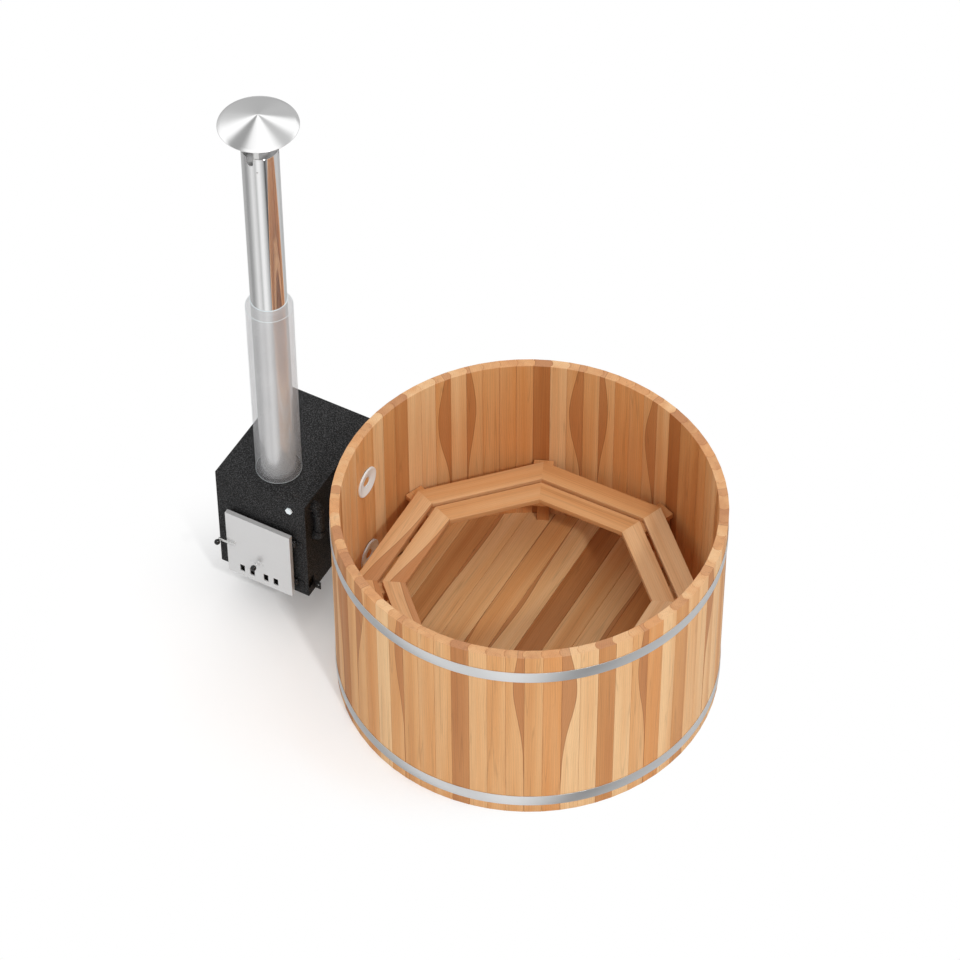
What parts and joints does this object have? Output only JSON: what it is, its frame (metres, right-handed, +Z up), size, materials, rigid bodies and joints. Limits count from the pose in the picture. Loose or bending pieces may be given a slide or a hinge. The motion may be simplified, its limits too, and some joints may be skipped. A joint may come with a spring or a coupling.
{
  "type": "wooden hot tub",
  "caption": "Round stave hot tub with an octagonal bench inside and a wood-fired stove with flue, rain cap and hinged fire door on the outside.",
  "frame": {"origin": "middle of the tub's foot on the ground, on the underside of its middle joist", "axes": "+Z up, the stove on the -X side with its door facing -Y, the water pipes along X"},
  "size_m": [2.253, 1.7424, 2.885],
  "materials": {
    "stave_wood": "clear oiled, smooth planed",
    "floor_wood": "smooth planed",
    "bench_wood": "smooth planed",
    "hoop_steel": "brushed",
    "zinc_steel": "zinc plated",
    "pale_steel": "satin",
    "seal_rubber": "matt",
    "drain_steel": "satin",
    "blue_paint": "gloss",
    "black_coat": "speckled heat-proof powder coat",
    "firebox_steel": "sooted plain steel",
    "grate_iron": "raw casting",
    "door_steel": "fine brushed",
    "bright_steel": "polished",
    "rope_seal": "woven rope",
    "knob_black": "gloss",
    "flue_steel": "polished",
    "guard_mesh": "fine perforated sheet, see-through",
    "cap_steel": "radially brushed"
  },
  "bodies": {
    "tub": {"staves_front": "stave_wood", "staves_right": "stave_wood", "staves_back": "stave_wood", "staves_left": "stave_wood", "upper_hoop": "hoop_steel", "lower_hoop": "hoop_steel", "hoop_bolts": "zinc_steel", "hoop_nuts": "zinc_steel", "floor_boards": "floor_wood", "floor_joists": "floor_wood", "outer_bench_boards": "bench_wood", "inner_bench_boards": "bench_wood", "bench_arms": "bench_wood", "bench_legs": "bench_wood", "bench_braces": "bench_wood", "bench_screws": "zinc_steel", "wall_flanges": "pale_steel", "port_gaskets": "seal_rubber", "port_nuts": "pale_steel", "upper_hose": "seal_rubber", "lower_hose": "seal_rubber", "hose_clamps": "zinc_steel", "drain_strainer": "drain_steel", "drain_pipe": "drain_steel", "drain_valve": "drain_steel", "stove_shell": "black_coat", "shell_base": "black_coat", "shell_screws": "black_coat", "water_jacket": "firebox_steel", "smoke_baffle": "firebox_steel", "fire_grate": "grate_iron", "jacket_plug": "bright_steel", "side_riser": "black_coat", "riser_elbows": "black_coat", "stand_frame": "black_coat", "stand_legs": "black_coat", "stand_feet": "seal_rubber", "latch_keeper": "black_coat", "hinge_brackets": "black_coat", "hinge_pins": "zinc_steel", "flue_rosette": "black_coat", "lower_flue": "flue_steel", "upper_flue": "flue_steel", "guard_sleeve": "guard_mesh", "guard_collar": "guard_mesh", "cap_cone": "cap_steel", "cap_straps": "flue_steel", "cap_rivets": "flue_steel"},
    "door": {"door_panel": "door_steel", "door_liner": "zinc_steel", "door_gasket": "rope_seal", "door_knuckles": "black_coat", "slide_guides": "zinc_steel"},
    "latch": {"latch_rod": "bright_steel", "latch_knob": "knob_black"},
    "air_slide_body": {"air_slide": "door_steel", "air_knob": "knob_black"},
    "valve_handle": {"drain_ball": "drain_steel", "drain_lever": "blue_paint"}
  },
  "joints": [
    {"name": "fire_door", "type": "hinge", "parent": "tub", "child": "door", "pos_m": [-0.999, -0.306, 0.27], "axis": [0, 0, 1], "range_deg": [0, 110]},
    {"name": "latch_handle", "type": "hinge", "parent": "door", "child": "latch", "pos_m": [-1.297, -0.344, 0.412], "axis": [0, 1, 0], "range_deg": [0, 50]},
    {"name": "air_slide", "type": "slide", "parent": "door", "child": "air_slide_body", "axis": [1, 0, 0], "range_m": [0, 0.026]},
    {"name": "drain_lever", "type": "hinge", "parent": "tub", "child": "valve_handle", "pos_m": [-0.915, 0.2, 0.017], "axis": [0, 0, 1], "range_deg": [0, 90]}
  ]
}
